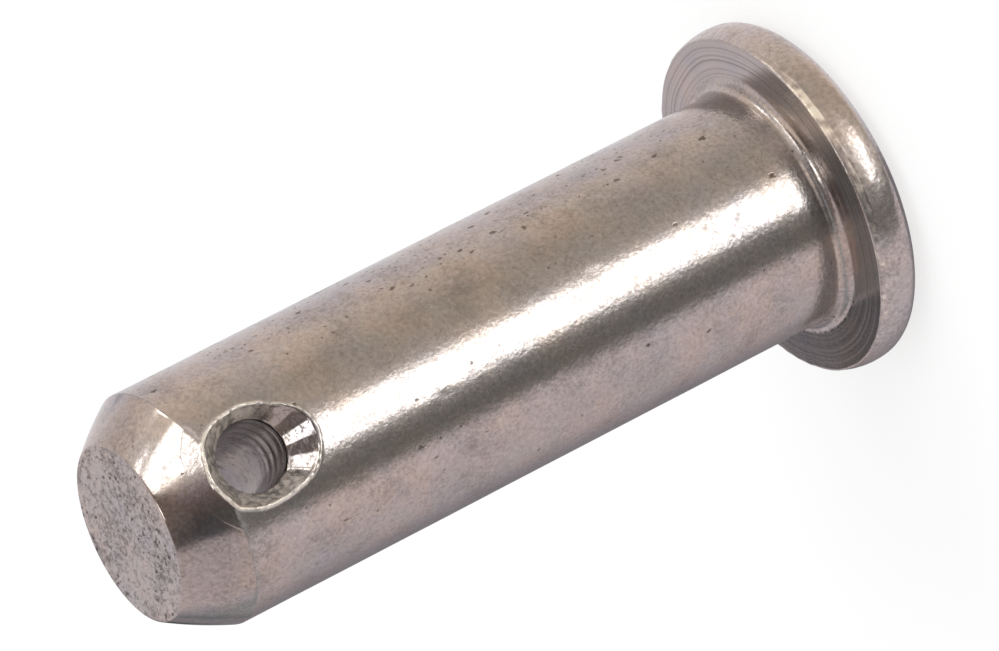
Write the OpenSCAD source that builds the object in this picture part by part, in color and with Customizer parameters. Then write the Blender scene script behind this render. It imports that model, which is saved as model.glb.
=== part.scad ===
// Clevis pin: a plain shank with a thin round head at one end and a cotter hole near the
// other. The whole pin is one piece, turned from a bar of steel and then cross drilled.
// It stands on its head. Z = 0 is the flat top of the head, +Z runs along the shank to
// the end face, and the cotter hole runs along Y.

/* [Shank] */
// Diameter of the shank
shank_d = 14; // [11:0.5:18]
// Length of the shank, from the underside of the head to the end face
shank_l = 43; // [20:0.5:120]
// Radius of the fillet where the shank runs into the head
fillet_r = 0.8; // [0.2:0.1:2]

/* [Head] */
// Diameter of the head
head_d = 20.6; // [17:0.1:40]
// Thickness of the head
head_t = 3.1; // [2:0.1:8]
// Radius of the arc that rounds the head's top edge
crown_r = 2.5; // [2.1:0.1:8]
// Width of the rounded band at the head's top edge, across the radius
crown_w = 2; // [0.5:0.1:2.4]
// Width of the chamfer under the rim, across the radius
rim_chamfer_w = 0.25; // [0.1:0.05:1]
// Height of the chamfer under the rim, along the axis
rim_chamfer_h = 0.5; // [0.1:0.05:1.5]

/* [Lead at the end] */
// Length of the lead, along the axis
lead_l = 3.2; // [1:0.1:6]
// Depth of the lead, across the radius
lead_depth = 1.9; // [0.5:0.05:3.5]
// Height by which the middle of the lead bows out past a straight cone
lead_bow = 0.1; // [0.05:0.05:0.5]

/* [Cotter hole] */
// Diameter of the cotter hole
hole_d = 4; // [2:0.1:6]
// Distance from the end face to the axis of the hole
hole_to_end = 6.1; // [5:0.1:20]
// Diameter of each countersink, where its cone meets the crest of the shank
sink_d = 6.9; // [6.1:0.1:9]
// Included angle of each countersink
sink_angle = 90; // [60:1:120]

/* [Hidden] */
$fn = 96;
// Extra length that carries a cut clear past the surface it opens
over = 1;

shank_r = shank_d / 2;
head_r = head_d / 2;
length = head_t + shank_l;
// Height of the hole's axis above the top of the head
hole_z = length - hole_to_end;

// Lead: an arc on the chord from the shank to the end face, with lead_bow as its rise
end_r = shank_r - lead_depth;
lead_z = length - lead_l;
lead_chord = norm([lead_depth, lead_l]);
lead_r = (lead_chord * lead_chord / 4 + lead_bow * lead_bow) / (2 * lead_bow);
lead_out = [lead_l, lead_depth] / lead_chord;
lead_mid = [(shank_r + end_r) / 2, (lead_z + length) / 2];
lead_centre = lead_mid - lead_out * (lead_r - lead_bow);
// Radius of the core and height of the foot that fill what the lead's disc leaves open
lead_core = max(lead_centre.x, end_r / 4);
lead_base = max(lead_centre.y, lead_z / 2);

// Half outline of the head: its top edge is an arc tangent to the flat top, and a small
// chamfer breaks the edge under the rim
module head_outline() {
    difference() {
        square([head_r, head_t]);
        difference() {
            translate([head_r - crown_w, -over]) square([crown_w + over, crown_r + over]);
            translate([head_r - crown_w, crown_r]) circle(r = crown_r);
        }
        polygon([
            [head_r - rim_chamfer_w, head_t],
            [head_r, head_t - rim_chamfer_h],
            [head_r + over, head_t - rim_chamfer_h],
            [head_r + over, head_t + over],
            [head_r - rim_chamfer_w, head_t + over]
        ]);
    }
}

// Half outline of the shank, from the top of the head to the end face. The lead is the edge
// of a disc, which stands wider than the shank below lead_z and is trimmed back to it
module shank_outline() {
    intersection() {
        square([shank_r, length]);
        union() {
            square([shank_r + over, lead_base]);
            square([lead_core, length]);
            translate(lead_centre) circle(r = lead_r);
        }
    }
}

// Half outline of the fillet in the corner between the shank and the underside of the head
module fillet_outline() {
    difference() {
        translate([shank_r, head_t]) square(fillet_r);
        translate([shank_r + fillet_r, head_t + fillet_r]) circle(r = fillet_r);
    }
}

// The turned blank, before drilling
module blank() {
    rotate_extrude() union() {
        head_outline();
        shank_outline();
        fillet_outline();
    }
}

// The cotter hole with a countersink at each mouth, along Y: one turned cutter, whose
// cones meet the crests of the shank at sink_d and run on clear of it
module cotter_hole() {
    slope = tan(sink_angle / 2);
    bore_half = shank_r - (sink_d - hole_d) / 2 / slope;
    cut_half = shank_r + over;
    cut_r = sink_d / 2 + over * slope;
    translate([0, 0, hole_z]) rotate([90, 0, 0]) rotate_extrude() polygon([
        [0, -cut_half],
        [cut_r, -cut_half],
        [hole_d / 2, -bore_half],
        [hole_d / 2, bore_half],
        [cut_r, cut_half],
        [0, cut_half]
    ]);
}

module clevis_pin() {
    color([0.66, 0.63, 0.60]) difference() {
        blank();
        cotter_hole();
    }
}

clevis_pin();
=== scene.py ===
import math

import bpy
import numpy as np
from mathutils import Matrix, Vector, noise


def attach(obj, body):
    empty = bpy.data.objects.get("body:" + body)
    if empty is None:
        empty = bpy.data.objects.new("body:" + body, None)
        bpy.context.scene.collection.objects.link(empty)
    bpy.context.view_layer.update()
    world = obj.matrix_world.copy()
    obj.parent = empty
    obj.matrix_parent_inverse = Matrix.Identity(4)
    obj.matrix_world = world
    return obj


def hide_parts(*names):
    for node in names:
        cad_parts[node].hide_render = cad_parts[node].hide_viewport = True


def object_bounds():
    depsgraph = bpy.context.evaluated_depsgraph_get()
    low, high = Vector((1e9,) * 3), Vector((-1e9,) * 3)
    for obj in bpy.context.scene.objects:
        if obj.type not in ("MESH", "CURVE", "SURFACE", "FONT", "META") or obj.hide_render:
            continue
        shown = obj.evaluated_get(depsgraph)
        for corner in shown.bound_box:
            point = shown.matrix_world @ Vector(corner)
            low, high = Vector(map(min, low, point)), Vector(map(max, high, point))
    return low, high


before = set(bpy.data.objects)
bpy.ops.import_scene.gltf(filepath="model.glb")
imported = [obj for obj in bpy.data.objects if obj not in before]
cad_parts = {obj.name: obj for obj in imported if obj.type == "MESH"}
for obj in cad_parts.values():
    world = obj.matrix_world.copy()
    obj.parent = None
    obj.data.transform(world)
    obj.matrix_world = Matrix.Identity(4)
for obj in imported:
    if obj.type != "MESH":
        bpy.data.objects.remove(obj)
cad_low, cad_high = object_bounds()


# Camera
# A long lens looks down on the front mouth of the cotter hole. It is rolled over on its side, so
# that the standing pin runs across the frame with its head at the upper right.
MM = 0.001
CAMERA_AZIMUTH = -5.81
CAMERA_ELEVATION = 24.7
CAMERA_ROLL = -117.07
CAMERA_DISTANCE = 455.69 * MM
CAMERA_AIM = Vector((0.91 * MM, 0, 21.06 * MM))
CAMERA_LENS = 301.4
CAMERA_SENSOR = 36
CAMERA_CLIP = (0.02, 20)

scene = bpy.context.scene
scene.view_settings.view_transform = "Standard"


def turned(axis, degrees):
    """A turn about one of the world's axes."""
    return Matrix.Rotation(math.radians(degrees), 4, axis)


def add_camera():
    """Puts the camera at its distance from the aim point, turned, raised and rolled."""
    data = bpy.data.cameras.new("camera")
    data.lens = CAMERA_LENS
    data.sensor_width = CAMERA_SENSOR
    data.clip_start, data.clip_end = CAMERA_CLIP
    camera = bpy.data.objects.new("camera", data)
    scene.collection.objects.link(camera)
    raised = turned("Z", CAMERA_AZIMUTH) @ turned("X", 90 - CAMERA_ELEVATION)
    aimed = raised @ turned("Z", CAMERA_ROLL)
    back = aimed.to_3x3() @ Vector((0, 0, 1))
    camera.matrix_world = Matrix.Translation(CAMERA_AIM + back * CAMERA_DISTANCE) @ aimed
    scene.camera = camera


add_camera()


# Floor
# A wide sheet of pale paper that the pin stands on. It shows as plain white and keeps a soft
# shadow of the pin.
FLOOR_SIZE = 6
PAPER = (0.8, 0.8, 0.8, 1)
PAPER_SHADE = (0.4, 0.4, 0.4, 1)
PAPER_GLOW = 0.68


def add(tree, kind, settings=(), **inputs):
    """Adds a node, sets its properties, and sets or links its inputs, by name with _ for a space
    or by number as i0, i1 and so on."""
    node = tree.nodes.new(kind)
    for name, value in dict(settings).items():
        setattr(node, name, value)
    for name, value in inputs.items():
        key = int(name[1:]) if name[1:].isdigit() else name.replace("_", " ")
        socket = node.inputs[key]
        if isinstance(value, bpy.types.NodeSocket):
            tree.links.new(value, socket)
        else:
            socket.default_value = value
    return node


def empty_material(name):
    """A material whose node tree is still empty."""
    made = bpy.data.materials.new(name)
    made.use_nodes = True
    made.node_tree.nodes.clear()
    return made


def paper():
    """Matt paper, which the camera sees lit from inside so that its shadow stays faint."""
    made = empty_material("floor_paper")
    made.cycles.emission_sampling = "NONE"
    tree = made.node_tree
    matt = add(tree, "ShaderNodeBsdfDiffuse", Color=PAPER)
    faint = add(tree, "ShaderNodeBsdfDiffuse", Color=PAPER_SHADE)
    glow = add(tree, "ShaderNodeEmission", Strength=PAPER_GLOW)
    shown = add(tree, "ShaderNodeAddShader", i0=faint.outputs[0], i1=glow.outputs[0])
    seen = add(tree, "ShaderNodeLightPath").outputs["Is Camera Ray"]
    picked = add(tree, "ShaderNodeMixShader", i0=seen, i1=matt.outputs[0], i2=shown.outputs[0])
    add(tree, "ShaderNodeOutputMaterial", Surface=picked.outputs[0])
    return made


def add_floor():
    """The sheet. Reflections in the steel pass it by and show the tent."""
    bpy.ops.mesh.primitive_plane_add(size=FLOOR_SIZE)
    floor = bpy.context.object
    floor.name = "floor"
    floor.data.materials.append(paper())
    floor.visible_glossy = False


add_floor()


# Light tent
# A round tent of white and grey cloth, which is what the bright steel reflects. A dark cloth hangs
# high up on the lens's side, and gaps let strong light in. A soft lamp above gives the shadow.

# Bearings are degrees counter-clockwise from the lens, which itself lies this far round from +X
LENS_SIDE = CAMERA_AZIMUTH - 90
# The cloth's tones at bearings, low down and high up, and the rises of a direction between which
# the low ones give way to the high ones
LOW_WALL = [
    (-180, 0.26, 0.24, 0.26),
    (-161, 0.28, 0.26, 0.28),
    (-141, 0.44, 0.40, 0.43),
    (-121, 0.73, 0.66, 0.69),
    (-100, 0.86, 0.77, 0.79),
    (-84, 0.89, 0.79, 0.80),
    (-70, 0.97, 0.86, 0.87),
    (-58, 1.00, 0.89, 0.90),
    (-52, 0.73, 0.66, 0.66),
    (-47, 0.27, 0.26, 0.245),
    (-34, 0.245, 0.238, 0.222),
    (-20, 0.38, 0.36, 0.34),
    (-13, 0.66, 0.61, 0.57),
    (14, 1.15, 1.02, 0.92),
    (24, 0.80, 0.72, 0.66),
    (35, 0.66, 0.59, 0.52),
    (60, 0.66, 0.58, 0.50),
    (75, 0.82, 0.70, 0.61),
    (95, 1.00, 0.88, 0.78),
    (120, 1.00, 0.90, 0.90),
    (150, 1.00, 0.94, 0.95),
    (175, 0.88, 0.86, 0.90),
    (180, 0.60, 0.58, 0.60),
]
HIGH_WALL = [
    (-180, 0.85, 0.78, 0.82),
    (-110, 0.82, 0.71, 0.71),
    (-60, 0.81, 0.69, 0.67),
    (-47, 0.72, 0.62, 0.60),
    (-43, 0.14, 0.135, 0.14),
    (-21, 0.13, 0.12, 0.115),
    (-4, 0.21, 0.155, 0.14),
    (12, 0.40, 0.31, 0.31),
    (24, 0.62, 0.53, 0.51),
    (34, 0.90, 0.80, 0.72),
    (66, 1.10, 0.98, 0.86),
    (74, 1.16, 1.02, 0.90),
    (83, 1.06, 0.94, 0.84),
    (90, 1.22, 1.08, 0.95),
    (103, 1.02, 0.88, 0.79),
    (120, 0.90, 0.78, 0.73),
    (150, 0.95, 0.88, 0.88),
    (180, 0.85, 0.78, 0.82),
]
WALL_SPLIT = (0.08, 0.2)
GAP_LIGHT = (4.0, 3.9, 3.8)
TOP_SHADE = (0.26, 0.21, 0.19)
# The dark cloth and each gap: the bearings of its sides, the rises of its ends, how soft both
# are, and its light
GAPS = [
    ((-50, 74), (0.68, 1.1), 4.0, 0.02, TOP_SHADE),
    ((-13, 16.5), (-0.56, -0.28), 1.2, 0.02, GAP_LIGHT),
    ((37, 63), (0.37, 0.72), 0.8, 0.03, GAP_LIGHT),
    ((71, 80), (0.61, 0.72), 0.8, 0.01, GAP_LIGHT),
    ((0, 34), (0.86, 0.96), 1.0, 0.01, GAP_LIGHT),
    ((75, 92), (0.24, 0.40), 1.0, 0.01, GAP_LIGHT),
]
EVEN_LIGHT = (0.7, 0.7, 0.7)
WHITE = (1, 1, 1)
LAMP_POWER = 4.0
LAMP_DISTANCE = 1.2
LAMP_SIZE = (0.9, 0.7)
LAMP_AZIMUTH = -30
LAMP_ELEVATION = 50


def calculate(tree, operation, *values):
    """The value of one Math node."""
    inputs = {f"i{number}": value for number, value in enumerate(values)}
    return add(tree, "ShaderNodeMath", {"operation": operation}, **inputs).outputs[0]


def stepped(tree, value, low, high):
    """A smooth step from 0 where the value is low to 1 where it is high."""
    smooth = {"interpolation_type": "SMOOTHSTEP"}
    return add(tree, "ShaderNodeMapRange", smooth, i0=value, i1=low, i2=high).outputs[0]


def mixed(tree, share, first, second, blend="MIX"):
    """The colour of one Mix node, from the first colour at share 0 to the second at share 1."""
    a, b = ((*colour, 1) if isinstance(colour, tuple) else colour for colour in (first, second))
    settings = {"data_type": "RGBA", "blend_type": blend}
    return add(tree, "ShaderNodeMix", settings, i0=share, i6=a, i7=b).outputs[2]


def round_from_lens(tree, place):
    """The bearing of a place from the lens, as a share of the whole turn, with 0.5 at the lens."""
    about = {"rotation_type": "Z_AXIS"}
    turn = -math.radians(LENS_SIDE)
    from_lens = add(tree, "ShaderNodeVectorRotate", about, Vector=place, Angle=turn).outputs[0]
    radial = {"gradient_type": "RADIAL"}
    return add(tree, "ShaderNodeTexGradient", radial, Vector=from_lens).outputs["Fac"]


def tones_round(tree, round_lens, stops):
    """The colour of a wall or a card, from its tones at bearings."""
    node = add(tree, "ShaderNodeValToRGB", i0=round_lens)
    elements = node.color_ramp.elements
    while len(elements) < len(stops):
        elements.new(1.0)
    for element, (degrees, *colour) in zip(elements, stops):
        element.position = degrees / 360 + 0.5
        element.color = (*colour, 1)
    return node.outputs["Color"]


def gap_mask(tree, bearing, rise, sides, ends, side_soft, end_soft):
    """A mask that is 1 inside a gap of the tent."""
    mask = 1.0
    for value, limits, soft in ((bearing, sides, side_soft), (rise, ends, end_soft)):
        for limit, inwards in zip(limits, (soft, -soft)):
            edge = stepped(tree, value, limit - inwards, limit + inwards)
            mask = calculate(tree, "MULTIPLY", mask, edge)
    return mask


def add_tent():
    """The world: the tent for reflections, an even light on what is matt, and plain white behind
    the floor."""
    world = bpy.data.worlds.new("tent")
    scene.world = world
    world.use_nodes = True
    world.cycles.sampling_method = "NONE"
    tree = world.node_tree
    tree.nodes.clear()
    place = add(tree, "ShaderNodeTexCoord").outputs["Generated"]
    round_lens = round_from_lens(tree, place)
    bearing = calculate(tree, "MULTIPLY_ADD", round_lens, 360, -180)
    rise = add(tree, "ShaderNodeSeparateXYZ", i0=place).outputs["Z"]
    low = tones_round(tree, round_lens, LOW_WALL)
    high = tones_round(tree, round_lens, HIGH_WALL)
    walls = mixed(tree, stepped(tree, rise, *WALL_SPLIT), low, high)
    for *gap, gap_light in GAPS:
        walls = mixed(tree, gap_mask(tree, bearing, rise, *gap), walls, gap_light)
    path = add(tree, "ShaderNodeLightPath").outputs
    lit = mixed(tree, path["Is Glossy Ray"], EVEN_LIGHT, walls)
    seen = calculate(tree, "MAXIMUM", path["Is Camera Ray"], path["Is Transmission Ray"])
    light = add(tree, "ShaderNodeBackground", i0=mixed(tree, seen, lit, WHITE))
    add(tree, "ShaderNodeOutputWorld", Surface=light.outputs[0])


def add_lamp():
    """A soft rectangular lamp that faces the middle of the pin."""
    data = bpy.data.lights.new("key_lamp", "AREA")
    data.shape = "RECTANGLE"
    data.size, data.size_y = LAMP_SIZE
    data.energy = LAMP_POWER
    lamp = bpy.data.objects.new("key_lamp", data)
    scene.collection.objects.link(lamp)
    away = turned("Z", LAMP_AZIMUTH) @ turned("Y", -LAMP_ELEVATION) @ Vector((1, 0, 0))
    lamp.location = CAMERA_AIM + away * LAMP_DISTANCE
    lamp.rotation_euler = away.to_track_quat("Z", "Y").to_euler()
    lamp.visible_glossy = False


add_tent()
add_lamp()


# Round reflection cards
# Strips stand bent round the pin, with an opening at the back, and glow in their own tones as
# painted reflections of light and shade. Only reflections show them: the head's underside mirrors
# them, some of it twice over by way of the shank.
CARD_R = 60 * MM
SIDE_TONES = [
    (-140, 0.25, 0.26, 0.27),
    (-130, 0.48, 0.48, 0.50),
    (-92, 0.56, 0.57, 0.60),
    (-66, 0.55, 0.57, 0.60),
    (-36, 0.47, 0.48, 0.49),
    (-16, 0.41, 0.42, 0.42),
    (14, 0.47, 0.48, 0.49),
    (32, 0.95, 0.90, 0.90),
    (44, 1.20, 1.10, 1.05),
    (55, 1.15, 1.05, 1.00),
    (68, 0.90, 0.85, 0.82),
    (84, 0.68, 0.64, 0.63),
    (122, 0.66, 0.63, 0.66),
]
# The back strip glows nearly black: a painted reflection of shade
BACK_TONES = [
    (-180, 0.07, 0.072, 0.076),
    (-140, 0.07, 0.072, 0.076),
]
# Each card: the bearings of its sides, the heights of its ends, how far it fades in, and its tones
CARDS = [
    ((-142, 140), (22 * MM, 49 * MM), 5 * MM, SIDE_TONES),
    ((-181, -158), (26 * MM, 50 * MM), 3 * MM, BACK_TONES),
]
CARD_COLUMNS = 64


def card_material(heights, fade, tones):
    """A plain glow in the card's tones, which fades out towards its upper and lower edge."""
    made = empty_material("card_painted_reflection")
    made.cycles.emission_sampling = "NONE"
    tree = made.node_tree
    place = add(tree, "ShaderNodeTexCoord").outputs["Object"]
    height = add(tree, "ShaderNodeSeparateXYZ", i0=place).outputs["Z"]
    rising = stepped(tree, height, heights[0], heights[0] + fade)
    falling = stepped(tree, height, heights[1], heights[1] - fade)
    share = calculate(tree, "MULTIPLY", rising, falling)
    colour = tones_round(tree, round_from_lens(tree, place), tones)
    tone = add(tree, "ShaderNodeEmission", Color=colour)
    clear = add(tree, "ShaderNodeBsdfTransparent")
    shown = add(tree, "ShaderNodeMixShader", i0=share, i1=clear.outputs[0], i2=tone.outputs[0])
    add(tree, "ShaderNodeOutputMaterial", Surface=shown.outputs[0])
    return made


def at_bearing(degrees):
    """The angle from +X, in radians, of a bearing from the lens."""
    return np.radians(LENS_SIDE + degrees)


def add_card(sides, heights, fade, tones):
    """One upright round strip."""
    mesh = bpy.data.meshes.new("round_card")
    angles = at_bearing(np.linspace(*sides, CARD_COLUMNS + 1))
    places = [(CARD_R * math.cos(a), CARD_R * math.sin(a), z) for z in heights for a in angles]
    above = CARD_COLUMNS + 1
    columns = range(CARD_COLUMNS)
    mesh.from_pydata(places, [], [(k, k + 1, k + 1 + above, k + above) for k in columns])
    mesh.materials.append(card_material(heights, fade, tones))
    card = bpy.data.objects.new("round_card", mesh)
    scene.collection.objects.link(card)
    for use_of_light in ("camera", "diffuse", "transmission", "shadow"):
        setattr(card, "visible_" + use_of_light, False)


for card in CARDS:
    add_card(*card)


# Clevis pin
# One piece of bright steel, turned from bar: a shank, and a thin round head with a slightly
# barrelled rim. The lead was cut a little out of square. The cotter hole was drilled across and
# countersunk by hand, which left chatter and a raised burr.

# Sizes of the blank, in millimetres
HEAD_R = (cad_high.x - cad_low.x) / 2 / MM
LENGTH = cad_high.z / MM
SHANK_R = 7.0
HEAD_T = 3.1
BARREL = 0.1
CROWN_R = 2.5
CROWN_W = 2.0
RIM_CHAMFER_W = 0.25
RIM_CHAMFER_H = 0.5
FILLET_R = 0.8
LEAD_L = 3.2
LEAD_DEPTH = 1.9
LEAD_BOW = 0.08
# How far the lead's start slants across the shank, and how far down the shank this is spread
LEAD_SKEW = 0.42
LEAD_SKEW_L = 8.0
# Where the lead reaches in towards the mouth: bearing and half width in degrees, and how far
LEAD_DIP = (20, 14, 0.4)
# The end face: how far it lies below full length, and its slopes along X and Y
END_SINK = 0.1
END_TILT = (-0.036, 0.022)
RIM_R = HEAD_R - BARREL
END_R = SHANK_R - LEAD_DEPTH
LEAD_Z = LENGTH - LEAD_L
crown_turn = math.degrees(math.asin(CROWN_W / CROWN_R))
crown_top = CROWN_R - math.sqrt(CROWN_R ** 2 - CROWN_W ** 2)
bevel_z = HEAD_T - RIM_CHAMFER_H
bevel_r = HEAD_R - RIM_CHAMFER_W


def line(start, end):
    """A straight stretch of the outline: its length, and its points at distances along it."""
    start, end = np.array((start, end), float)
    length = np.linalg.norm(end - start)

    def at(run):
        return start + (end - start) * (run / length)[:, None]

    return length, at


def arc(centre, radius, first, last):
    """A round stretch of the outline, between two angles in degrees."""
    first, last = math.radians(first), math.radians(last)
    length = radius * abs(last - first)

    def at(run):
        angle = first + (last - first) * run / length
        return np.array(centre) + radius * np.column_stack((np.cos(angle), np.sin(angle)))

    return length, at


def bowed(start, end, bow):
    """A nearly straight stretch that bows out by a small height in its middle."""
    start, end = np.array((start, end), float)
    chord = np.linalg.norm(end - start)
    radius = (chord ** 2 / 4 + bow ** 2) / (2 * bow)
    along = (end - start) / chord
    out = np.array((along[1], -along[0]))
    centre = (start + end) / 2 - out * (radius - bow)
    first, last = (math.degrees(math.atan2(*(p - centre)[::-1])) for p in (start, end))
    return arc(centre, radius, first, last)


# Each stretch of the outline from the middle of the head to the middle of the end face, as
# (zone, shape, distance between rings, how far the edge after it is eased)
OUTLINE = [
    ("top", line((0, 0), (RIM_R - CROWN_W, 0)), 0.55, 0),
    ("crown", arc((RIM_R - CROWN_W, CROWN_R), CROWN_R, -90, crown_turn - 90), 0.2, 0.3),
    ("rim", bowed((RIM_R, crown_top), (RIM_R, bevel_z), BARREL), 0.12, 0.08),
    ("bevel", line((RIM_R, bevel_z), (bevel_r, HEAD_T)), 0.09, 0.1),
    ("under", line((bevel_r, HEAD_T), (SHANK_R + FILLET_R, HEAD_T)), 0.06, 0),
    ("fillet", arc((SHANK_R + FILLET_R, HEAD_T + FILLET_R), FILLET_R, -90, -180), 0.12, 0),
    ("shank", line((SHANK_R, HEAD_T + FILLET_R), (SHANK_R, LEAD_Z)), 0.3, 0.04),
    ("lead", bowed((SHANK_R, LEAD_Z), (END_R, LENGTH), LEAD_BOW), 0.16, 0.08),
    ("end", line((END_R, LENGTH), (0, LENGTH)), 0.25, 0),
]
EASE_STEPS = 4


def eased(before, corner, after):
    """Points that round a corner between two points near it."""
    t = np.linspace(0, 1, EASE_STEPS + 1)[1:-1, None]
    return (1 - t) ** 2 * before + 2 * t * (1 - t) * corner + t ** 2 * after


def outline_rings():
    """The outline as one point for each ring of the mesh, with its zone. A stretch gives up what
    the eased edges before and after it take."""
    found = []
    zones = []
    trim = 0.0
    for number, (zone, (length, at), step, cut) in enumerate(OUTLINE):
        count = max(2, round((length - trim - cut) / step))
        stretch = at(np.linspace(trim, length - cut, count + 1))
        if found and not trim:
            stretch = stretch[1:]
        if cut:
            _, (_, ahead), *_ = OUTLINE[number + 1]
            edge = eased(stretch[-1], at(np.array([length]))[0], ahead(np.array([cut]))[0])
            stretch = np.concatenate((stretch, edge))
        found.extend(stretch)
        zones.extend([zone] * len(stretch))
        trim = cut
    return np.array(found), zones


rings, ring_zones = outline_rings()
ring_run = np.concatenate(([0], np.cumsum(np.linalg.norm(np.diff(rings, axis=0), axis=1))))
crease_ring = max(i for i, zone in enumerate(ring_zones) if zone == "shank")
end_ring = max(i for i, zone in enumerate(ring_zones) if zone == "lead")
crease_run = ring_run[crease_ring]
end_run = ring_run[end_ring]


def smooth_step(value):
    """0 below 0, 1 above 1 and a smooth rise between."""
    value = np.clip(value, 0, 1)
    return value * value * (3 - 2 * value)


def hump(away):
    """1 where away is 0, about a third where it is 1, and nearly 0 past 2."""
    return np.exp(-(away ** 2))


def turn_from(bearing, angle):
    """How far angles lie round from a bearing, the short way, in radians."""
    return np.angle(np.exp(1j * (angle - at_bearing(bearing))))


def lean(angle, run, radius):
    """How far a point lies beyond the square form: the lead starts askew and the end face tilts."""
    bearing, half_w, depth = LEAD_DIP
    dip = depth * hump(np.degrees(turn_from(bearing, angle)) / half_w)
    skew = (LEAD_SKEW * np.cos(angle) - dip) * smooth_step((run - crease_run) / LEAD_SKEW_L + 1)
    tilt = radius * (END_TILT[0] * np.cos(angle) + END_TILT[1] * np.sin(angle)) - END_SINK
    share = np.clip((run - crease_run) / (end_run - crease_run), 0, 1)
    return skew * (1 - share) + tilt * share


def on_blank(angle, run):
    """Points of the turned blank at angles round the axis and distances along the outline."""
    radius = np.interp(run, ring_run, rings[:, 0])
    height = np.interp(run, ring_run, rings[:, 1]) + lean(angle, run, radius)
    return np.stack((radius * np.cos(angle), radius * np.sin(angle), height), -1)


# The rings are one grid of columns. Round each mouth of the hole a window is left out of it,
# which a patch of its own fills. Rings past the window are pushed clear of the countersink,
# because the mouth bites into the edge of the lead.
HOLE_TO_END = 6.1
HOLE_Z = LENGTH - HOLE_TO_END
COLUMNS = 256
HALF = COLUMNS // 2
COLUMN_TURN = 2 * math.pi / COLUMNS
# The side of the front mouth, where the columns start
FRONT = -math.pi / 2
# A window's half width, how far it reaches below the hole's axis, and how short of the lead it ends
WINDOW_COLUMNS = 32
WINDOW_BELOW = 4.8
WINDOW_RINGS_SHORT = 5
# How far the pushed rings keep from the hole's axis, how much the lead's slope adds to the push,
# how far on it fades out, and how softly it sets in
CLEAR_R = 3.85
PUSH_SLOPE = 1.15
PUSH_FADE = 2.4024024
PUSH_SOFT = 0.01

window_low = next(
    i for i, zone in enumerate(ring_zones) if zone == "shank" and rings[i, 1] > HOLE_Z - WINDOW_BELOW
)
window_high = crease_ring - WINDOW_RINGS_SHORT
hole_run = np.interp(HOLE_Z, rings[window_low:window_high, 1], ring_run[window_low:window_high])


def from_mouth(column):
    """How many columns lie between a column and the middle of the mouth on its side."""
    return (column + HALF // 2) % HALF - HALF // 2


def grid_runs():
    """The distance along the outline of each point of the grid, by row and column."""
    found = np.repeat(ring_run[:, None], COLUMNS, 1)
    columns = np.arange(COLUMNS)
    across = from_mouth(columns) * COLUMN_TURN * SHANK_R
    angle = FRONT + columns * COLUMN_TURN
    needed = HOLE_Z + np.sqrt(np.maximum(CLEAR_R ** 2 - across ** 2, 0))
    short = needed - (rings[window_high, 1] + lean(angle, ring_run[window_high], SHANK_R))
    push = PUSH_SLOPE * 0.5 * (short + np.sqrt(short ** 2 + PUSH_SOFT))
    past = found[window_high : end_ring + 1] - found[window_high]
    found[window_high : end_ring + 1] += push * (1 - smooth_step(past / PUSH_FADE))
    return found


runs = grid_runs()
grid = on_blank(FRONT + np.arange(COLUMNS)[None, :] * COLUMN_TURN, runs)
# The number of the point at each place of the grid, or -1 inside a window
numbers = -np.ones((len(rings), COLUMNS), int)
points = []
point_zones = []
point_facts = []
faces = []
face_zones = []


def add_points(places, zone, *facts):
    """Adds points with their zone and up to three facts about where each lies in it. Returns their
    numbers."""
    first = len(points)
    points.extend(places)
    point_zones.extend([zone] * len(places))
    rows = np.zeros((len(places), 3))
    for column, values in enumerate(facts):
        rows[:, column] = values
    point_facts.extend(rows)
    return list(range(first, len(points)))


def in_window(row, column, margin):
    """Whether a point of the grid lies in a window, at least a margin from its edge."""
    across = abs(from_mouth(column)) <= WINDOW_COLUMNS - margin
    return across and window_low + margin <= row <= window_high - margin


def add_band(before, after, zone):
    """Joins two rings of points with faces."""
    count = len(before)
    for k in range(count):
        n = (k + 1) % count
        faces.append([before[k], before[n], after[n], after[k]])
        face_zones.append(zone)


def add_ring(before, places, zone, *facts):
    """Adds a ring of points and joins it to the ring before. Returns the points' numbers."""
    these = add_points(places, zone, *facts)
    add_band(before, these, zone)
    return these


def add_grid():
    """The rings of the blank, without the windows, closed by a fan at each end."""
    last = len(rings) - 1
    for row in range(1, last):
        for column in range(COLUMNS):
            if not in_window(row, column, 1):
                numbers[row, column] = add_points([grid[row, column]], ring_zones[row])[0]
    for row in range(1, last - 1):
        for column in range(COLUMNS):
            ahead = (column + 1) % COLUMNS
            corners = ((row, column), (row, ahead), (row + 1, ahead), (row + 1, column))
            if not all(in_window(r, c, 0) for r, c in corners):
                faces.append([numbers[r, c] for r, c in corners])
                face_zones.append(ring_zones[row + 1])
    for row, pole in ((1, 0), (last - 1, last)):
        centre = add_points([grid[pole, 0]], ring_zones[pole])[0]
        for column in range(COLUMNS):
            a, b = numbers[row, column], numbers[row, (column + 1) % COLUMNS]
            faces.append([centre, b, a] if pole == 0 else [centre, a, b])
            face_zones.append(ring_zones[pole])


add_grid()

# The mouths of the hole. The countersink was worked by hand, so its rim has corners. Each corner
# is its turn round the hole in degrees from +X, its radius as a share of a true countersink's,
# and the height of the burr there.
MOUTH_CORNERS = [
    (-157, 0.895, 0.09),
    (-133, 1.00, 0.06),
    (-97, 1.00, 0.03),
    (-82, 1.00, 0.03),
    (-68, 0.98, 0.04),
    (-44, 0.88, 0.05),
    (-15, 0.915, 0.08),
    (10, 0.895, 0.10),
    (39, 0.945, 0.08),
    (58, 0.94, 0.06),
    (76, 0.915, 0.10),
    (101, 0.95, 0.11),
    (117, 0.93, 0.10),
    (131, 1.01, 0.09),
    (154, 0.955, 0.09),
    (177, 0.90, 0.09),
]
corner_turns, corner_shares, corner_burrs = np.array(MOUTH_CORNERS).T
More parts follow.
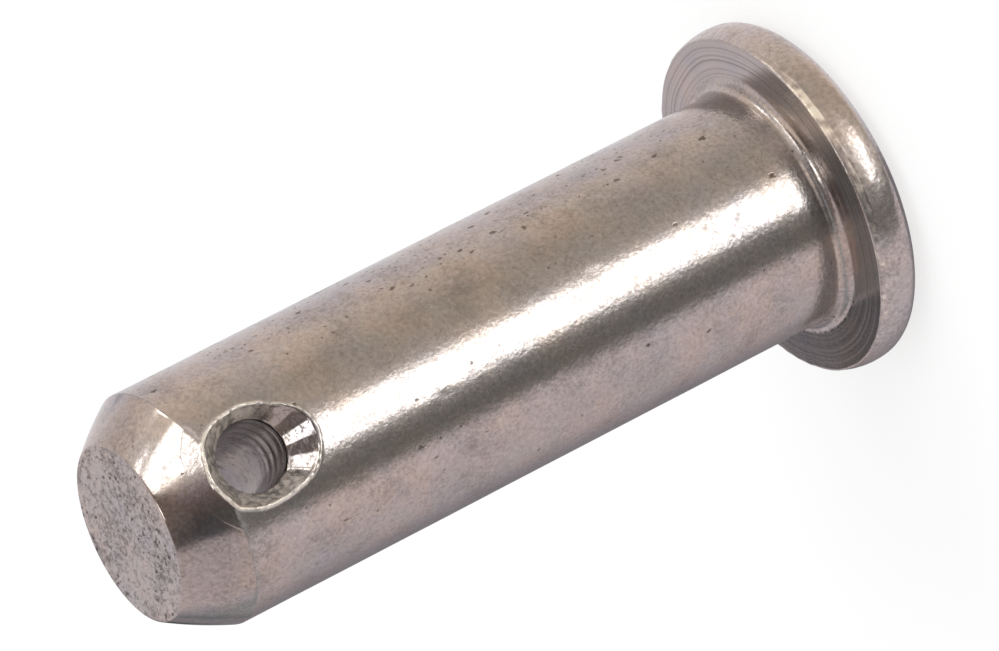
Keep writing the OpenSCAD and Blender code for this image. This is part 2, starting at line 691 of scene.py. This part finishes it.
# The back mouth has the same corners, turned on by this many degrees
BACK_TURN = 140
BORE_R = 2.0
BORE_SHIFT = 0.16
SINK_R = 3.45
SINK_START = SHANK_R - (SINK_R - BORE_R)
# The rings next to the rim, for the burr: how many, how far apart, and how wide the patch has to
# be for that
LIP_RINGS = 7
LIP_STEP = 0.035
LIP_EASE = 0.7
# The rings from there to the window's edge, and how fast they widen
PATCH_RINGS = 22
PATCH_SPREAD = 1.3
SINK_RINGS = 14
# The search for the rim: the radius it starts from, and how often it halves
RIM_INSIDE = 1.5
RIM_HALVINGS = 40
# Distances between the bore's rings: close near the mouths, where they show, and wide between
BORE_STEP = 0.11
BORE_CLOSE = 3.6
BORE_WIDE_STEP = 0.6


def at_corner(turn, side, values):
    """What the corners' values give at turns round the mouth on a side."""
    degrees = np.degrees(turn) + side * BACK_TURN
    return np.interp(degrees, corner_turns, values, period=360)


def window_edge():
    """The grid's points round a window, as (column from its middle, row), counter-clockwise from
    outside."""
    w = WINDOW_COLUMNS
    found = [(c, window_low) for c in range(-w, w)]
    found += [(w, r) for r in range(window_low, window_high)]
    found += [(c, window_high) for c in range(w, -w, -1)]
    found += [(-w, r) for r in range(window_high, window_low, -1)]
    return found


def add_mouth(side):
    """Adds the patch round the mouth on the front side, 0, or the back, 1, and its countersink.
    Returns the numbers of the points where the bore starts."""
    middle = FRONT + side * math.pi
    sign = 1 if side else -1
    offsets, rows = np.array(window_edge()).T
    columns = (offsets + side * HALF) % COLUMNS
    edge_across = offsets * COLUMN_TURN
    edge_along = runs[rows, columns] - hole_run
    reach = np.hypot(edge_across * SHANK_R, edge_along)

    def place(distance):
        share = distance / reach
        return on_blank(middle + edge_across * share, hole_run + edge_along * share)

    def turn_round(spots):
        return np.arctan2(spots[:, 2] - HOLE_Z, -sign * spots[:, 0])

    near = np.full(len(rows), RIM_INSIDE)
    far = reach.copy()
    for _ in range(RIM_HALVINGS):
        half = (near + far) / 2
        spots = place(half)
        cone = BORE_R + sign * spots[:, 1] - SINK_START
        mouth_r = cone * at_corner(turn_round(spots), side, corner_shares)
        outside = np.hypot(spots[:, 0], spots[:, 2] - HOLE_Z) > mouth_r
        far = np.where(outside, half, far)
        near = np.where(outside, near, half)
    rim = (near + far) / 2
    rim_spots = place(rim)
    turn = turn_round(rim_spots)
    burr = at_corner(turn, side, corner_burrs)

    gap = reach - rim
    tight = np.minimum(1, gap / LIP_EASE)
    levels = [LIP_STEP * k * tight for k in range(LIP_RINGS + 1)]
    start = levels[-1]
    shares = [(k / PATCH_RINGS) ** PATCH_SPREAD for k in range(1, PATCH_RINGS)]
    levels += [start + (gap - start) * share for share in shares]
    before = list(numbers[rows, columns])
    for level in levels[::-1]:
        before = add_ring(before, place(rim + level), "patch", level, burr)

    bore_x = BORE_SHIFT + BORE_R * np.cos(turn) * -sign
    bore_up = BORE_R * np.sin(turn)
    deep = SINK_START - BORE_R + np.hypot(bore_x, bore_up)
    bore_spots = np.column_stack((bore_x, deep * sign, HOLE_Z + bore_up))
    for k in range(1, SINK_RINGS + 1):
        share = k / SINK_RINGS
        spots = rim_spots * (1 - share) + bore_spots * share
        before = add_ring(before, spots, "sink", share, turn, side)
    return before


def drill_bore(front_ring, back_ring):
    """Joins the two mouths with the bore. A point of the front ring meets the back ring's point at
    the same height on the same side, which is the other way round from outside."""
    edge = window_edge()
    number_of = {corner: number for number, corner in enumerate(edge)}
    meets = [back_ring[number_of[(-offset, row)]] for offset, row in edge]
    first = np.array([points[i] for i in front_ring])
    last = np.array([points[i] for i in meets])
    bore_l = np.linalg.norm(last - first, axis=1).mean()
    close = np.arange(BORE_STEP, BORE_CLOSE, BORE_STEP)
    wide = np.arange(BORE_CLOSE, bore_l - BORE_CLOSE, BORE_WIDE_STEP)
    before = front_ring
    for run in np.concatenate((close, wide, bore_l - close[::-1])):
        share = run / bore_l
        spots = first * (1 - share) + last * share
        turn = np.arctan2(spots[:, 2] - HOLE_Z, spots[:, 0] - BORE_SHIFT)
        before = add_ring(before, spots, "bore", turn, min(run, bore_l - run))
    add_band(before, meets, "bore")


drill_bore(add_mouth(0), add_mouth(1))

# What the tools and the years left on the surface, as a height over the clean form. Slow waves
# run all over the outside, each with its length and height. The lead keeps a share of them.
WAVES = ((5.0, 0.009), (1.3, 0.002))
LEAD_WAVES = 0.35
# Dings in the rim and its bevel: their height, length and width. Among them are half as high ones
# that are this many times as small.
RIM_DINGS = (0.015, 1.6, 0.45)
BEVEL_DINGS = (0.02, 0.75, 0.16)
DINGS_FINER = 2.3
# The rings from facing the head: height, pitch, and how far from the shank they start and are full
FEED_H = 0.0015
FEED = 0.42
FEED_START = (0.3, 0.9)
# How far outside the mouth's rim the burr's crest runs, how wide it falls off, and the least and
# the most of its height that is left
BURR_CREST = 0.10
BURR_HALF_W = 0.10
BURR_LEFT = (0.2, 1.5)
# Where each flat that chatter left in the countersink starts and the last one ends, in degrees
# round the hole as above
FLATS = (-150, -130, -113, -99, -84, -67, -50, -34, -20, -5)
# How rough the countersink's torn side and its flats are, the size of that roughness round it and
# as a share of its depth, where it fades at each end, and how far apart the two mouths' are
TORN_H = 0.02
FLAT_H = 0.012
CHATTER_SIZE = (0.22, 0.5)
CHATTER_FADE = 0.12
CHATTER_APART = 3
# The drill's marks: their height and pitch, and how far inside the bore they are full
DRILL_H = 0.018
DRILL_PITCH = 0.9
DRILL_FADE = 0.4
# Dents in the shank: bearing from the lens, height on the pin, half width and depth
DENTS = [
    (85, 22.3, 0.5, 0.09),
    (9, 17.8, 0.4, 0.03),
    (45, 14.8, 0.35, 0.03),
    (-9, 29.0, 0.35, 0.02),
    (-20, 33.0, 0.3, 0.02),
    (150, 12.0, 0.6, 0.04),
    (-120, 30.0, 0.5, 0.04),
    (-75, 15.0, 0.4, 0.03),
]
# What strays from place to place: its middle, how far it strays, the size of its patches, a seed
FEED_WANDER = (0, 0.35, 3.0, 13)
FEED_STRENGTH = (0.75, 0.7, 0.7, 14)
END_DINGS = (0, 0.012, 1.4, 15)
BURR_STRENGTH = (0.75, 1.1, 0.28, 16)
DRILL_STRENGTH = (0.6, 0.9, 0.9, 18)
DRILL_WANDER = (0, 0.6, 0.8, 19)
BURR_BARE = (0.8, 1.2, 0.25, 20)
# The bevel's painted highlight, in patches
BEVEL_PAINTED_HIGHLIGHT = (0.45, 2.2, 0.55, 21)
TORN_DULL = (0.85, 0.9, 0.3, 22)
# The bevel's fainter painted glints, in specks
BEVEL_GLINT_SPECKS = (-0.1, 2.4, 0.3, 23)
SEED_SHIFT = (7.3, 3.1, 5.7)


def ripple(places, size, seed):
    """Smooth noise between about -0.7 and 0.7 at places, with features of a size."""
    shift = Vector([seed * share for share in SEED_SHIFT])
    return np.array([noise.noise(Vector(p) + shift) for p in np.asarray(places) / size])


def straying(places, middle, amount, size, seed):
    """A value that strays from its middle from place to place."""
    return middle + amount * ripple(places, size, seed)


def on_line(values):
    """Places on a line, for what strays with one value alone."""
    return np.column_stack((values, values * 0, values * 0))


def scallops(phase):
    """Round hollows of -1 between crisp ridges of 1, with a ridge at each whole phase."""
    return 1 - 2 * np.abs(np.sin(math.pi * phase))


def ding_height(places, amount, along, across):
    """Dings that lie lengthwise round the rim."""
    spots = np.column_stack((places[:, :2] / along, places[:, 2] / across))
    return amount * ripple(spots, 1, 11) + amount * 0.5 * ripple(spots * DINGS_FINER, 1, 12)


def feed_height(places):
    """The scallops that a facing tool's feed leaves."""
    radius = np.hypot(places[:, 0], places[:, 1])
    start, full = FEED_START
    clear = smooth_step((radius - SHANK_R - start) / (full - start))
    clear = np.where(radius < SHANK_R, 1, clear)
    cut = FEED_H * scallops(radius / FEED + straying(places, *FEED_WANDER))
    return cut * clear * straying(on_line(radius), *FEED_STRENGTH)


def burr_height(places, level, burr):
    """The burr, broken down here and there."""
    flat = np.column_stack((places[:, 0], places[:, 2], burr * 0))
    left = np.clip(straying(flat, *BURR_STRENGTH), *BURR_LEFT)
    return burr * hump((level - BURR_CREST) / BURR_HALF_W) * left


def flat_sides(turn):
    """How much further out than a round cone a flat lies, as a factor, and 1 where there is none."""
    starts = np.radians(FLATS)
    number = np.clip(np.searchsorted(starts, turn) - 1, 0, len(starts) - 2)
    middle = (starts[number] + starts[number + 1]) / 2
    inside = (turn > starts[0]) & (turn < starts[-1])
    return np.where(inside, 1 / np.cos(turn - middle), 1)


def chatter_height(places, share, turn, side):
    """The countersink's flats, sunk square to its 45 degree side, and its roughness."""
    reach = np.hypot(places[:, 0], places[:, 2] - HOLE_Z)
    flat = flat_sides(turn)
    round_size, deep_size = CHATTER_SIZE
    spots = np.column_stack((turn / round_size, share / deep_size, side * CHATTER_APART))
    rough = np.where(flat > 1, FLAT_H, TORN_H) * ripple(spots, 1, 17)
    fade = smooth_step(share / CHATTER_FADE) * smooth_step((1 - share) / CHATTER_FADE)
    return fade * (rough - reach * (flat - 1) * math.sqrt(0.5))


def drill_height(turn, run):
    """The winding scallops that the drill left in the bore, at distances in from its mouths."""
    phase = run / DRILL_PITCH + turn / (2 * math.pi) + straying(on_line(run), *DRILL_WANDER)
    cut = DRILL_H * scallops(phase) * straying(on_line(run), *DRILL_STRENGTH)
    return cut * smooth_step(run / DRILL_FADE)


def dent_depth(places, bearing, height, half_w, depth):
    """One dent."""
    across = SHANK_R * turn_from(bearing, np.arctan2(places[:, 1], places[:, 0]))
    return depth * hump(np.hypot(across, places[:, 2] - height) / half_w)


def surface_height(places, zones, facts):
    """The height of the worked surface over the clean form at each point."""
    height = np.zeros(len(places))

    def points_of(*names):
        here = np.flatnonzero(np.isin(zones, names))
        return here, places[here], facts[here].T

    here = np.flatnonzero(~np.isin(zones, ("sink", "bore")))
    kept = np.where(zones[here] == "lead", LEAD_WAVES, 1)
    for seed, (size, amount) in enumerate(WAVES):
        height[here] += amount * kept * ripple(places[here], size, seed)
    for zone, dings in (("rim", RIM_DINGS), ("bevel", BEVEL_DINGS)):
        here, spots, _ = points_of(zone)
        height[here] += ding_height(spots, *dings)
    here, spots, _ = points_of("under", "fillet", "top")
    height[here] += feed_height(spots)
    here, spots, _ = points_of("end")
    height[here] += straying(spots, *END_DINGS)
    here, spots, (level, burr, _) = points_of("patch")
    height[here] += burr_height(spots, level, burr)
    here, spots, (share, turn, side) = points_of("sink")
    height[here] += chatter_height(spots, share, turn, side)
    here, _, (turn, run, _) = points_of("bore")
    height[here] += drill_height(turn, run)
    here, spots, _ = points_of("shank", "patch", "lead")
    for dent in DENTS:
        height[here] -= dent_depth(spots, *dent)
    return height


# Where the finish changes. A burr this high is bare all over. On the bevel, a painted highlight in
# patches and fainter painted glints in specks each keep to a side of the pin, given by its bearing
# and half width in degrees.
BURR_FULL = 0.08
BEVEL_HIGHLIGHT_SIDE = (22, 11)
BEVEL_GLINT_SIDE = (-25, 40)
GLINT_SHARE = 0.5
# Where the countersink turns from torn to cut and back, and how dull the torn side is at least
CUT_TURNS = ((-150, -138), (-45, -12))
DULL_LEAST = 0.5
# Where the pin lay damp: its side as above, between which heights, how far it fades there, and how
# much of the rust there is elsewhere
DAMP_SIDE = (72, 28)
DAMP_ALONG = (6, 40)
DAMP_FADE = 4
DAMP_LEAST = 0.06


def near_side(places, bearing, half_width):
    """1 on one side of the pin, 0.5 at a half width from its middle and 0 half as far again."""
    angle = np.arctan2(places[:, 1], places[:, 0])
    away = np.abs(np.degrees(turn_from(bearing, angle)))
    return smooth_step(1.5 - away / half_width)


def burr_and_highlight_mask(places, zones, facts):
    """How much of each point is fresh burr, lightened partly as a painted highlight, and how much of
    the bevel is painted highlight and painted glint, from 0 to 1.
    """
    mask = np.zeros(len(zones))
    here = np.flatnonzero(zones == "patch")
    level, burr, _ = facts[here].T
    bare = np.clip(burr / BURR_FULL * straying(places[here], *BURR_BARE), 0, 1)
    mask[here] = bare * hump((level - BURR_CREST) / BURR_HALF_W)
    here = np.flatnonzero(zones == "bevel")
    # On the bevel: a painted highlight in patches and painted glints in specks, on the side towards
    # the lens
    highlight_patches = straying(places[here], *BEVEL_PAINTED_HIGHLIGHT) * near_side(places[here], *BEVEL_HIGHLIGHT_SIDE)
    glint_specks = straying(places[here], *BEVEL_GLINT_SPECKS) * near_side(places[here], *BEVEL_GLINT_SIDE)
    mask[here] = np.clip(np.maximum(highlight_patches, GLINT_SHARE * glint_specks), 0, 1)
    return mask


def dull_mask(places, zones, facts):
    """How much of each point is torn dull steel: the countersink away from its flats, in patches."""
    mask = np.zeros(len(zones))
    here = np.flatnonzero(zones == "sink")
    turn = np.degrees(facts[here, 1])
    (start, cut), (cut_end, end) = CUT_TURNS
    bright = smooth_step((turn - start) / (cut - start)) * smooth_step((end - turn) / (end - cut_end))
    mask[here] = (1 - bright) * np.clip(straying(places[here], *TORN_DULL), DULL_LEAST, 1)
    return mask


def damp_mask(places):
    """How common rust pits are at each point."""
    low, high = DAMP_ALONG
    height = places[:, 2]
    along = smooth_step((height - low) / DAMP_FADE) * smooth_step((high - height) / DAMP_FADE)
    return DAMP_LEAST + (1 - DAMP_LEAST) * near_side(places, *DAMP_SIDE) * along


def pin_mesh():
    """The mesh of the pin, worked over, with its masks."""
    mesh = bpy.data.meshes.new("pin")
    mesh.from_pydata([tuple(p * MM) for p in points], [], faces)
    mesh.update()
    places = np.array(points)
    zones = np.array(point_zones)
    facts = np.array(point_facts)
    normals = np.empty(len(points) * 3, np.float32)
    mesh.vertex_normals.foreach_get("vector", normals)
    height = surface_height(places, zones, facts)
    moved = places + normals.reshape(-1, 3) * height[:, None]
    mesh.vertices.foreach_set("co", (moved * MM).ravel())
    mesh.update()
    masks = {
        # The burr mask also holds the bevel's painted highlight
        "burr": burr_and_highlight_mask(places, zones, facts),
        "dull": dull_mask(places, zones, facts),
        "damp": damp_mask(places),
    }
    for name, mask in masks.items():
        mesh.attributes.new(name, "FLOAT", "POINT").data.foreach_set("value", mask)
    mesh.shade_smooth()
    return mesh


# The finishes. Everything is the same steel, with faint warm and cool stains. The lathe left the
# turned faces bright, the sawn end is pitted, and the hole has the drill's own duller skin.
STEEL = (0.43, 0.40, 0.385)
STEEL_WARM = (0.455, 0.385, 0.335)
STEEL_COOL = (0.40, 0.393, 0.42)
PIT_BROWN = (0.085, 0.06, 0.045)
PIT_GREY = (0.10, 0.095, 0.095)
# What is added to the colour: on the burr torn steel's own light colour, brightened further as a
# painted highlight, on the bevel a painted highlight, and in the countersink torn steel's colour
BURR_LIGHT_AND_HIGHLIGHT = (0.56, 0.53, 0.43)
TORN_LIGHT = (0.29, 0.23, 0.165)
# The values of a noise between which something sets in
WARM_STEP = (0.48, 0.66)
COOL_STEP = (0.50, 0.34)
PIT_FLOCK_STEP = (0.38, 0.6)
RING_STEP = (0.46, 0.64)
# How strong the stains are and how much they shade, how far a pit's edge strays and the share of
# its radius at full depth, and how much a dark mark roughens
STAINED = 0.5
STAIN_SHADE = 0.3
PIT_RAGGED = 0.3
PIT_FLOOR = 0.4
MARK_ROUGHENS = 0.3


def new_group(name, label, kind, **values):
    """An empty node group that takes a place and named values and gives one output of a kind.
    Returns its tree, its inputs by name, and where its output goes."""
    tree = bpy.data.node_groups.new(name, "ShaderNodeTree")
    face = tree.interface
    face.new_socket("Place", in_out="INPUT", socket_type="NodeSocketVector")
    for value_name, value in values.items():
        taken = value_name.replace("_", " ")
        socket = face.new_socket(taken, in_out="INPUT", socket_type="NodeSocketFloat")
        socket.default_value = value
    face.new_socket(label, in_out="OUTPUT", socket_type="NodeSocket" + kind)
    given = tree.nodes.new("NodeGroupInput").outputs
    return tree, given, tree.nodes.new("NodeGroupOutput").inputs[label]


def clouds(tree, place, scale, detail, rough=0.5):
    """A noise value between 0 and 1, with this many features to a millimetre."""
    node = add(tree, "ShaderNodeTexNoise", Vector=place, Scale=scale, Detail=detail, Roughness=rough)
    return node.outputs["Fac"]


def reckon(tree, operation, **inputs):
    """One Vector Math node."""
    return add(tree, "ShaderNodeVectorMath", {"operation": operation}, **inputs)


def stain_group():
    """Steel with soft warm and cool stains some millimetres wide and a fine darker grain."""
    values = dict(Tone=1.0, Stain=0.6, Grain=0.1, Grain_Size=0.3)
    tree, given, output = new_group("steel_stain", "Color", "Color", **values)
    wide = clouds(tree, given["Place"], scale=0.28, detail=3.0, rough=0.6)
    warm = calculate(tree, "MULTIPLY", stepped(tree, wide, *WARM_STEP), given["Stain"])
    cool = calculate(tree, "MULTIPLY", stepped(tree, wide, *COOL_STEP), given["Stain"])
    colour = mixed(tree, cool, mixed(tree, warm, STEEL, STEEL_WARM), STEEL_COOL)
    scale = calculate(tree, "DIVIDE", 1.0, given["Grain Size"])
    fine = clouds(tree, given["Place"], scale, detail=3.0, rough=0.62)
    shade = calculate(tree, "MULTIPLY_ADD", fine, 2.0, -1.0)
    cloud = calculate(tree, "MULTIPLY_ADD", wide, STAIN_SHADE, -STAIN_SHADE / 2)
    level = calculate(tree, "MULTIPLY_ADD", shade, given["Grain"], given["Tone"])
    level = calculate(tree, "ADD", level, cloud)
    grey = add(tree, "ShaderNodeCombineColor", i0=level, i1=level, i2=level).outputs[0]
    tree.links.new(mixed(tree, 1.0, colour, grey, "MULTIPLY"), output)
    return tree


def pit_group():
    """Scattered small round pits: a mask that is 1 in each pit."""
    values = dict(Spacing=1.0, Radius=0.1, Share=0.5, Damp=1.0)
    tree, given, output = new_group("steel_pits", "Mask", "Float", **values)
    warp = add(tree, "ShaderNodeTexNoise", Vector=given["Place"], Scale=4.0, Detail=2.0)
    centred = reckon(tree, "SUBTRACT", i0=warp.outputs["Color"], i1=(0.5,) * 3)
    ragged = reckon(tree, "SCALE", i0=centred.outputs[0], Scale=PIT_RAGGED)
    spot = reckon(tree, "ADD", i0=given["Place"], i1=ragged.outputs[0])
    scale = calculate(tree, "DIVIDE", 1.0, given["Spacing"])
    cells = add(tree, "ShaderNodeTexVoronoi", Vector=spot.outputs[0], Scale=scale).outputs
    away = calculate(tree, "MULTIPLY", cells["Distance"], given["Spacing"])
    floor_r = calculate(tree, "MULTIPLY", given["Radius"], PIT_FLOOR)
    pit = stepped(tree, away, given["Radius"], floor_r)
    draw = add(tree, "ShaderNodeSeparateColor", i0=cells["Color"]).outputs[0]
    flock = clouds(tree, given["Place"], scale=0.35, detail=1.0)
    share = calculate(tree, "MULTIPLY", given["Share"], stepped(tree, flock, *PIT_FLOCK_STEP))
    share = calculate(tree, "MULTIPLY", share, given["Damp"])
    chosen = calculate(tree, "LESS_THAN", draw, share)
    tree.links.new(calculate(tree, "MULTIPLY", pit, chosen), output)
    return tree


def blotch_group():
    """Ragged soft blotches that flock together: a mask that is 1 in them. A higher edge leaves
    fewer."""
    values = dict(Size=0.3, Edge=0.55, Soft=0.05, Flock=0.3)
    tree, given, output = new_group("steel_blotches", "Mask", "Float", **values)
    scale = calculate(tree, "DIVIDE", 1.0, given["Size"])
    field = clouds(tree, given["Place"], scale, detail=4.0, rough=0.75)
    flock = clouds(tree, given["Place"], scale=0.45, detail=2.0)
    sparse = calculate(tree, "SUBTRACT", 0.5, flock)
    edge = calculate(tree, "MULTIPLY_ADD", sparse, given["Flock"], given["Edge"])
    low = calculate(tree, "SUBTRACT", edge, given["Soft"])
    high = calculate(tree, "ADD", edge, given["Soft"])
    tree.links.new(stepped(tree, field, low, high), output)
    return tree


def ring_group():
    """The fine rings that a facing tool leaves: a mask that is 1 in the bottom of each ring."""
    tree, given, output = new_group("steel_rings", "Mask", "Float", Pitch=0.3, Wander=0.3)
    flat = reckon(tree, "MULTIPLY", i0=given["Place"], i1=(1, 1, 0))
    radius = reckon(tree, "LENGTH", i0=flat.outputs[0]).outputs["Value"]
    wide = clouds(tree, given["Place"], scale=0.2, detail=1.0)
    run = calculate(tree, "DIVIDE", radius, given["Pitch"])
    run = calculate(tree, "MULTIPLY_ADD", wide, given["Wander"], run)
    outwards = add(tree, "ShaderNodeCombineXYZ", i0=run).outputs[0]
    lines = clouds(tree, outwards, scale=1.0, detail=3.0, rough=0.7)
    tree.links.new(stepped(tree, lines, *RING_STEP), output)
    return tree


def relief_group():
    """The fine unevenness of worked steel, as a height in millimetres."""
    tree, given, output = new_group("steel_relief", "Height", "Float", Coarse=0.02, Fine=0.003)
    coarse = clouds(tree, given["Place"], scale=1.9, detail=1.0)
    fine = clouds(tree, given["Place"], scale=5.0, detail=2.0, rough=0.6)
    height = calculate(tree, "MULTIPLY", coarse, given["Coarse"])
    height = calculate(tree, "MULTIPLY_ADD", fine, given["Fine"], height)
    tree.links.new(height, output)
    return tree


stain = stain_group()
pits = pit_group()
blotches = blotch_group()
feed_rings = ring_group()
relief = relief_group()


def use(tree, group, **inputs):
    """The output of a node group placed in a material."""
    return add(tree, "ShaderNodeGroup", {"node_tree": group}, **inputs).outputs[0]


def in_millimetres(tree, stretch=(1, 1, 1)):
    """Places on the piece in millimetres, with what is drawn there stretched along each axis."""
    place = add(tree, "ShaderNodeTexCoord").outputs["Object"]
    scale = tuple(1 / MM / share for share in stretch)
    return add(tree, "ShaderNodeMapping", Vector=place, Scale=scale).outputs[0]


def mesh_mask(tree, name):
    """One of the mesh's masks."""
    return add(tree, "ShaderNodeAttribute", {"attribute_name": name}).outputs["Fac"]


def mark(group, dark, deep, stretch=(1, 1, 1), **values):
    """One kind of mark: its group with that group's values, how dark it is, how deep in
    millimetres, and how far it is stretched along each axis."""
    return group, dark, deep, stretch, values


def steel(
    name,
    rough,
    tone,
    grain,
    marks,
    relief_by=(0.006, 0.003),
    metallic=1.0,
    pit=PIT_BROWN,
    torn_and_highlight=None,
    damp=None,
):
    """One finish of the pin's steel. The grain is its strength and size, the relief its coarse and
    fine height. The mask of torn steel, which on the burr and the bevel is also a painted highlight,
    comes with what it adds there to the colour, the roughness and the metallic value. Damp is the
    mask that says where pits are common."""
    made = empty_material(name)
    tree = made.node_tree
    place = in_millimetres(tree)
    strength, size = grain
    colour = use(tree, stain, Place=place, Tone=tone, Stain=STAINED, Grain=strength, Grain_Size=size)
    coarse, fine = relief_by
    height = use(tree, relief, Place=place, Coarse=coarse, Fine=fine)
    if torn_and_highlight:
        mask_name, light, more_rough, more_metallic = torn_and_highlight
        mask = mesh_mask(tree, mask_name)
        colour = mixed(tree, mask, colour, light, "ADD")
        rough = calculate(tree, "MULTIPLY_ADD", mask, more_rough, rough)
        metallic = calculate(tree, "MULTIPLY_ADD", mask, more_metallic, metallic)
    for group, dark, deep, stretch, values in marks:
        if group == pits and damp:
            values = dict(values, Damp=mesh_mask(tree, damp))
        mask = use(tree, group, Place=in_millimetres(tree, stretch), **values)
        colour = mixed(tree, calculate(tree, "MULTIPLY", mask, dark), colour, pit)
        height = calculate(tree, "MULTIPLY_ADD", mask, -deep, height)
        rough = calculate(tree, "MULTIPLY_ADD", mask, MARK_ROUGHENS * dark, rough)
    bump = add(tree, "ShaderNodeBump", Strength=1.0, Distance=MM, Height=height)
    shader = add(
        tree,
        "ShaderNodeBsdfPrincipled",
        Base_Color=colour,
        Metallic=metallic,
        Roughness=rough,
        Normal=bump.outputs[0],
    )
    add(tree, "ShaderNodeOutputMaterial", Surface=shader.outputs[0])
    return made


# What the shank and the lead have in common: both were turned, and wear and rust marked both
TURNED = dict(
    tone=1.03,
    marks=[
        mark(pits, 0.75, 0.015, (1, 1, 1.5), Spacing=0.72, Radius=0.18, Share=1.0),
        mark(pits, 0.7, 0.008, (1, 1, 7), Spacing=0.9, Radius=0.07, Share=0.8),
        mark(pits, 0.6, 0.006, Spacing=0.45, Radius=0.12, Share=0.9),
        mark(blotches, 0.3, 0.001, Size=0.22, Edge=0.57, Soft=0.13, Flock=0.4),
        mark(blotches, 0.22, 0.001, Size=0.5, Edge=0.62, Soft=0.08, Flock=0.4),
    ],
    # The burr round the mouths is lightened, partly as a painted highlight
    torn_and_highlight=("burr", BURR_LIGHT_AND_HIGHLIGHT, 0.2, -0.45),
    damp="damp",
)
# The finish of each zone
FINISHES = {
    ("shank", "fillet", "patch"): steel(
        "turned_steel", rough=0.16, grain=(0.38, 0.25), relief_by=(0.010, 0.008), **TURNED
    ),
    ("lead",): steel(
        "lead_steel", rough=0.10, grain=(0.4, 0.26), relief_by=(0.0015, 0.0010), **TURNED
    ),
    ("crown", "rim", "bevel"): steel(
        "rim_steel",
        rough=0.2,
        tone=1.14,
        grain=(0.45, 0.3),
        relief_by=(0.02, 0.007),
        marks=[
            mark(pits, 0.75, 0.02, Spacing=1.3, Radius=0.11, Share=0.35),
            mark(blotches, 0.32, 0.002, Size=0.24, Edge=0.58, Soft=0.14, Flock=0.5),
        ],
        # On the bevel this paints a highlight on its side towards the lens
        torn_and_highlight=("burr", BURR_LIGHT_AND_HIGHLIGHT, 0.1, 0),
    ),
    ("top", "under"): steel(
        "faced_steel",
        rough=0.18,
        tone=1.09,
        grain=(0.1, 0.15),
        relief_by=(0.003, 0.0015),
        marks=[
            mark(pits, 0.7, 0.01, Spacing=1.8, Radius=0.1, Share=0.3),
            mark(feed_rings, 0.45, 0.0005, Pitch=0.26, Wander=1.5),
        ],
    ),
    ("end",): steel(
        "sawn_end_steel",
        metallic=0.9,
        rough=0.33,
        tone=1.14,
        grain=(0.3, 0.25),
        relief_by=(0.008, 0.008),
        marks=[
            mark(blotches, 0.55, 0.006, (1, 1.5, 1), Size=0.4, Edge=0.54, Soft=0.13, Flock=0.3),
            mark(blotches, 0.35, 0.003, (1, 1.5, 1), Size=0.2, Edge=0.56, Soft=0.12, Flock=0.2),
            mark(pits, 0.8, 0.012, (1, 1.5, 1), Spacing=0.38, Radius=0.14, Share=1.0),
        ],
        pit=PIT_GREY,
    ),
    ("sink",): steel(
        "countersunk_steel",
        rough=0.13,
        tone=0.95,
        grain=(0.3, 0.25),
        marks=[mark(blotches, 0.5, 0.004, Size=0.3, Edge=0.58, Soft=0.1, Flock=0.4)],
        torn_and_highlight=("dull", TORN_LIGHT, 0.3, -0.75),
    ),
    ("bore",): steel(
        "drilled_steel",
        metallic=0.9,
        rough=0.22,
        tone=0.66,
        grain=(0.15, 0.3),
        marks=[mark(blotches, 0.3, 0.003, Size=0.4, Edge=0.58, Soft=0.12, Flock=0.3)],
    ),
}


def add_pin():
    """The pin, with a finish on each zone, in the place of the plain solid."""
    mesh = pin_mesh()
    slot_of = {}
    for slot, (zones, finish) in enumerate(FINISHES.items()):
        mesh.materials.append(finish)
        slot_of.update(dict.fromkeys(zones, slot))
    slots = np.array([slot_of[zone] for zone in face_zones], np.int32)
    mesh.polygons.foreach_set("material_index", slots)
    pin = bpy.data.objects.new("pin", mesh)
    scene.collection.objects.link(pin)
    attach(pin, "root")
    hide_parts("clevis_pin")


add_pin()
